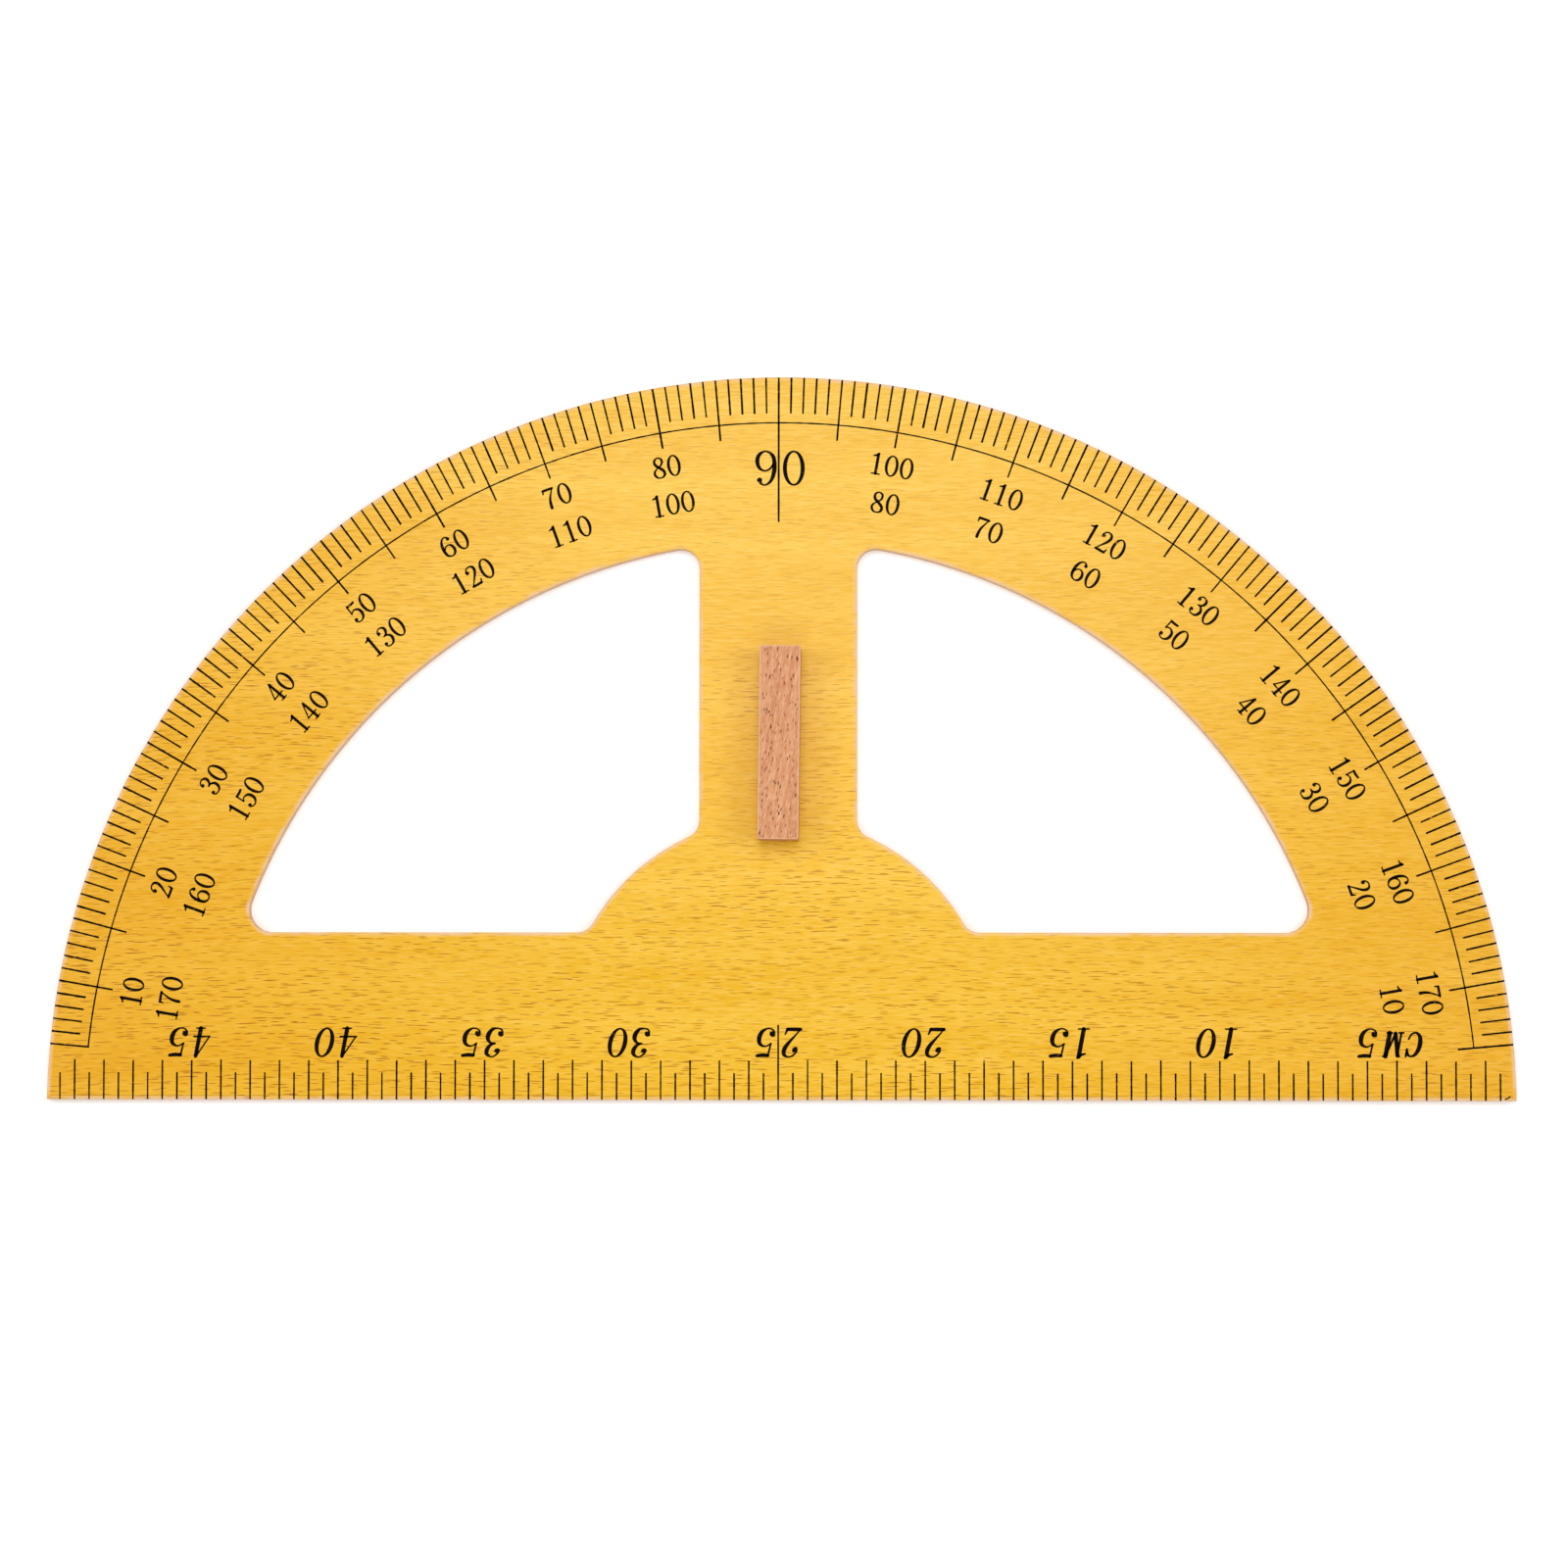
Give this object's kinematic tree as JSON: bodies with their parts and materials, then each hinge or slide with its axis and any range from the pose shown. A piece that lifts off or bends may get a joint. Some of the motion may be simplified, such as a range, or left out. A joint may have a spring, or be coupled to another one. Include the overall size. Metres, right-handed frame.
{
  "type": "blackboard protractor",
  "caption": "Flat half-round wooden blackboard protractor with curved windows, a straight ruled edge and a fixed wooden grip bar standing on its front face.",
  "frame": {"origin": "on the back face, under the middle of the bounding box of the board lying flat; the middle of the straight edge is at (0, -0.1236, 0)", "axes": "+X along the straight edge, with 0 degrees at +X; +Y from the straight edge towards the 90 degree mark; +Z out of the front face, the way the handle stands"},
  "size_m": [0.5, 0.2472, 0.0243],
  "materials": {
    "lacquered_beech": "yellow satin-gloss lacquer over beech",
    "raw_beech": "sanded, unfinished",
    "screw_steel": "zinc plated",
    "scale_ink": "screen-printed ink, almost black"
  },
  "bodies": {
    "root": {"back_veneer": "lacquered_beech", "core_ply": "raw_beech", "front_veneer": "lacquered_beech", "handle": "raw_beech", "lower_screw": "screw_steel", "upper_screw": "screw_steel"}
  },
  "joints": []
}
